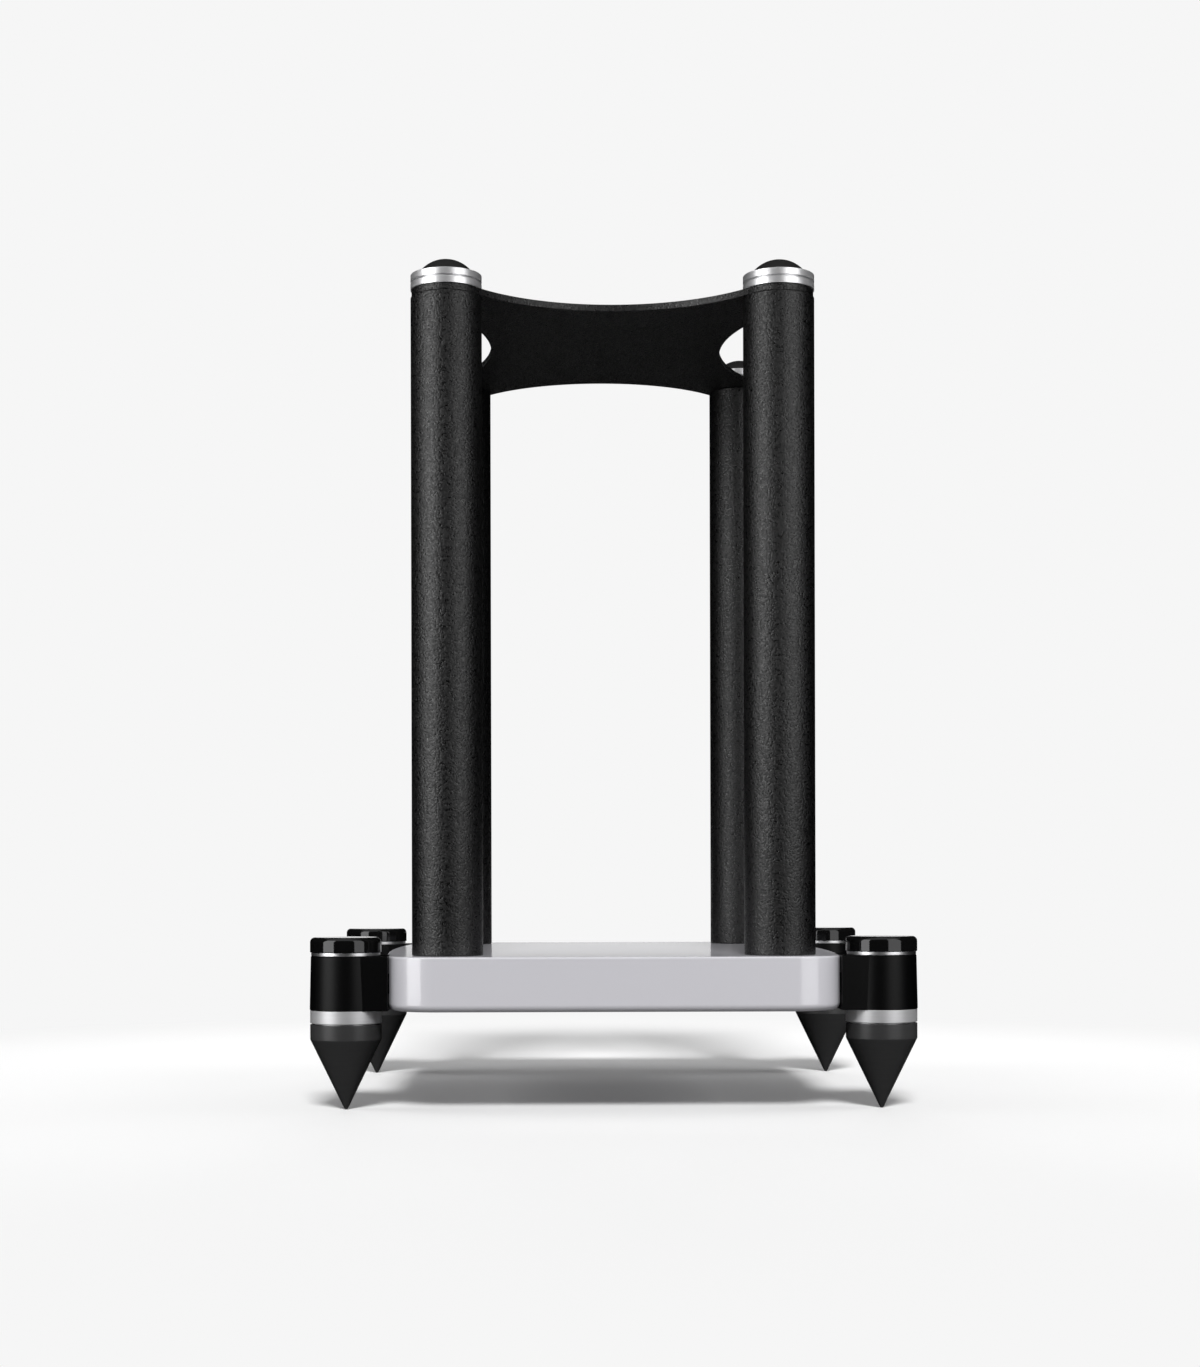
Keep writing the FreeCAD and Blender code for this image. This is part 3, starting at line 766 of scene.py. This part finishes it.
class DressDomes(bpy.types.Operator):
    """Rubber domes with a small flat crown"""
    bl_idname = "stand.domes"
    bl_label = "Rubber domes"

    def execute(self, context):
        for corner in CORNERS:
            node = f"dome_pad_{corner}"
            low, high, r, axis = span(node)
            rim = span(f"pad_cup_{corner}")[1]
            rise = high - rim
            flat = (r ** 2 - CROWN_R ** 2 - rise ** 2) / (2 * rise)
            ball_r = math.hypot(CROWN_R, flat + rise)
            bm = bmesh.new()
            bmesh.ops.create_uvsphere(bm, u_segments=96, v_segments=96, radius=ball_r)
            bmesh.ops.translate(bm, verts=bm.verts, vec=(0, 0, rim - flat))
            keep_between(bm, rim, high)
            skirt = bmesh.ops.extrude_edge_only(bm, edges=edges_at(bm, rim))
            bmesh.ops.translate(bm, verts=new_verts(skirt), vec=(0, 0, low - rim))
            closed_ends(bm)
            add_piece(f"rubber_dome_{corner}", bm, axis, "stand_frame", [node], dome_rubber())
        return {"FINISHED"}


class DressCaps(bpy.types.Operator):
    """Lock caps, the threaded inserts inside them and the bright rims below"""
    bl_idname = "stand.caps"
    bl_label = "Lock caps and rims"

    def execute(self, context):
        sizes = context.scene.stand_sizes
        for corner in CORNERS:
            cap, rim, insert = (f"{name}_{corner}" for name in ("lock_cap", "rim_ring", "cap_insert"))
            low, high, r, axis = span(cap)
            pocket_top, pocket_r = span(insert)[1], span(insert)[2] + FIT_GAP
            bm = turned([(0, high), (r, high), (r, low), (pocket_r, low), (pocket_r, pocket_top),
                         (0, pocket_top)])
            rounded(bm, rings(bm, r, high), sizes.cap_edge, 10)
            rounded(bm, rings(bm, r, low), SOFT_EDGE, 3)
            add_piece(f"black_chrome_cap_{corner}", bm, axis, f"{corner}_cap", [cap], cap_chrome())
            low, high, r, axis = span(rim)
            bm = turned([(RIM_HOLE_R, low), (r, low), (r, high), (RIM_HOLE_R, high)], closed=True)
            rounded(bm, rings(bm, r, low) + rings(bm, r, high), FINE_EDGE, 3)
            add_piece(f"bright_rim_{corner}", bm, axis, "stand_frame", [rim], rim_chrome())
            low, high, r, axis = span(insert)
            bm = closed_ends(helix(r, 0.55 * sizes.insert_pitch, sizes.insert_pitch, low, high))
            add_piece(f"threaded_insert_{corner}", bm, axis, f"{corner}_insert", [insert], insert_brass())
        return {"FINISHED"}


class DressSpikes(bpy.types.Operator):
    """Spike cones, the collars above them and their threaded studs"""
    bl_idname = "stand.spikes"
    bl_label = "Spikes, collars and studs"

    def execute(self, context):
        sizes = context.scene.stand_sizes
        for corner in CORNERS:
            cone, collar, stud = (f"{name}_{corner}" for name in ("spike_cone", "spike_collar", "spike_stud"))
            low, high, r, axis = span(cone)
            shoulder, floor = high - SPIKE_TOP_HEIGHT, span(stud)[0]
            bm = turned([(0, low), (TIP_R, low), (r, shoulder), (r, high), (STUD_BORE_R, high),
                         (STUD_BORE_R, floor), (0, floor)])
            rounded(bm, rings(bm, r, shoulder), FINE_EDGE, 3)
            rounded(bm, rings(bm, TIP_R, low), SOFT_EDGE, 3)
            rounded(bm, rings(bm, r, high), FINE_EDGE, 2)
            add_piece(f"blackened_spike_{corner}", bm, axis, f"{corner}_spike", [cone], spike_steel())
            low, high, r, axis = span(collar)
            groove, neck = low + GROOVE_HEIGHT, r - GROOVE_DEPTH
            bm = turned([(STUD_BORE_R, low), (neck, low), (neck, groove), (r, groove), (r, high),
                         (STUD_BORE_R, high)], closed=True)
            rounded(bm, rings(bm, r, groove) + rings(bm, r, high), FINE_EDGE, 3)
            add_piece(f"brushed_collar_{corner}", bm, axis, f"{corner}_spike", [collar], collar_steel())
            low, high, r, axis = span(stud)
            bm = closed_ends(helix(r, 0.6 * sizes.stud_pitch, sizes.stud_pitch, low, high))
            add_piece(f"threaded_stud_{corner}", bm, axis, f"{corner}_stud", [stud], stud_zinc())
        return {"FINISHED"}


class DressKeptNodes(bpy.types.Operator):
    """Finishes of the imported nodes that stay: outriggers, plugs, bolts, washers and screws"""
    bl_idname = "stand.kept_nodes"
    bl_label = "Outriggers, plugs and fasteners"

    def execute(self, context):
        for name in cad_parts:
            if name.startswith("outrigger_body"):
                keep_node(name, body_paint())
            elif "plug" in name:
                keep_node(name, plug_aluminium())
            elif name.split("_")[-1] in ("bolts", "washers", "screws"):
                keep_node(name, stud_zinc())
        return {"FINISHED"}


class BuildStudio(bpy.types.Operator):
    """Pale floor and room, black flags, soft lights and the camera"""
    bl_idname = "stand.studio"
    bl_label = "Studio and camera"

    def execute(self, context):
        studio = context.scene.stand_studio
        make_floor(studio)
        make_flags()
        make_room(studio)
        make_lights(studio)
        make_camera(context)
        context.scene.view_settings.view_transform = "Standard"
        return {"FINISHED"}


class StandPanel(bpy.types.Panel):
    """Lists the stand's pieces and its studio"""
    bl_idname = "STAND_PT_pieces"
    bl_label = "Speaker stand"
    bl_space_type = "VIEW_3D"
    bl_region_type = "UI"
    bl_category = "Speaker stand"

    def draw(self, context):
        for operator in OPERATORS:
            self.layout.operator(operator.bl_idname)


OPERATORS = (DressColumns, DressSlab, DressPlate, DressDiscs, DressDomes, DressCaps, DressSpikes,
             DressKeptNodes, BuildStudio)
SETTINGS = {"stand_sizes": StandSizes, "stand_colours": StandColours, "stand_studio": StudioSettings}


def register():
    for made in (*SETTINGS.values(), *OPERATORS, StandPanel):
        bpy.utils.register_class(made)
    for name, settings in SETTINGS.items():
        setattr(bpy.types.Scene, name, bpy.props.PointerProperty(type=settings))


def unregister():
    for name in SETTINGS:
        delattr(bpy.types.Scene, name)
    for made in (StandPanel, *reversed(OPERATORS), *SETTINGS.values()):
        bpy.utils.unregister_class(made)


def main():
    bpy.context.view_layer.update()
    register()
    for operator in OPERATORS:
        group, name = operator.bl_idname.split(".")
        getattr(getattr(bpy.ops, group), name)()


if __name__ == "__main__":
    main()
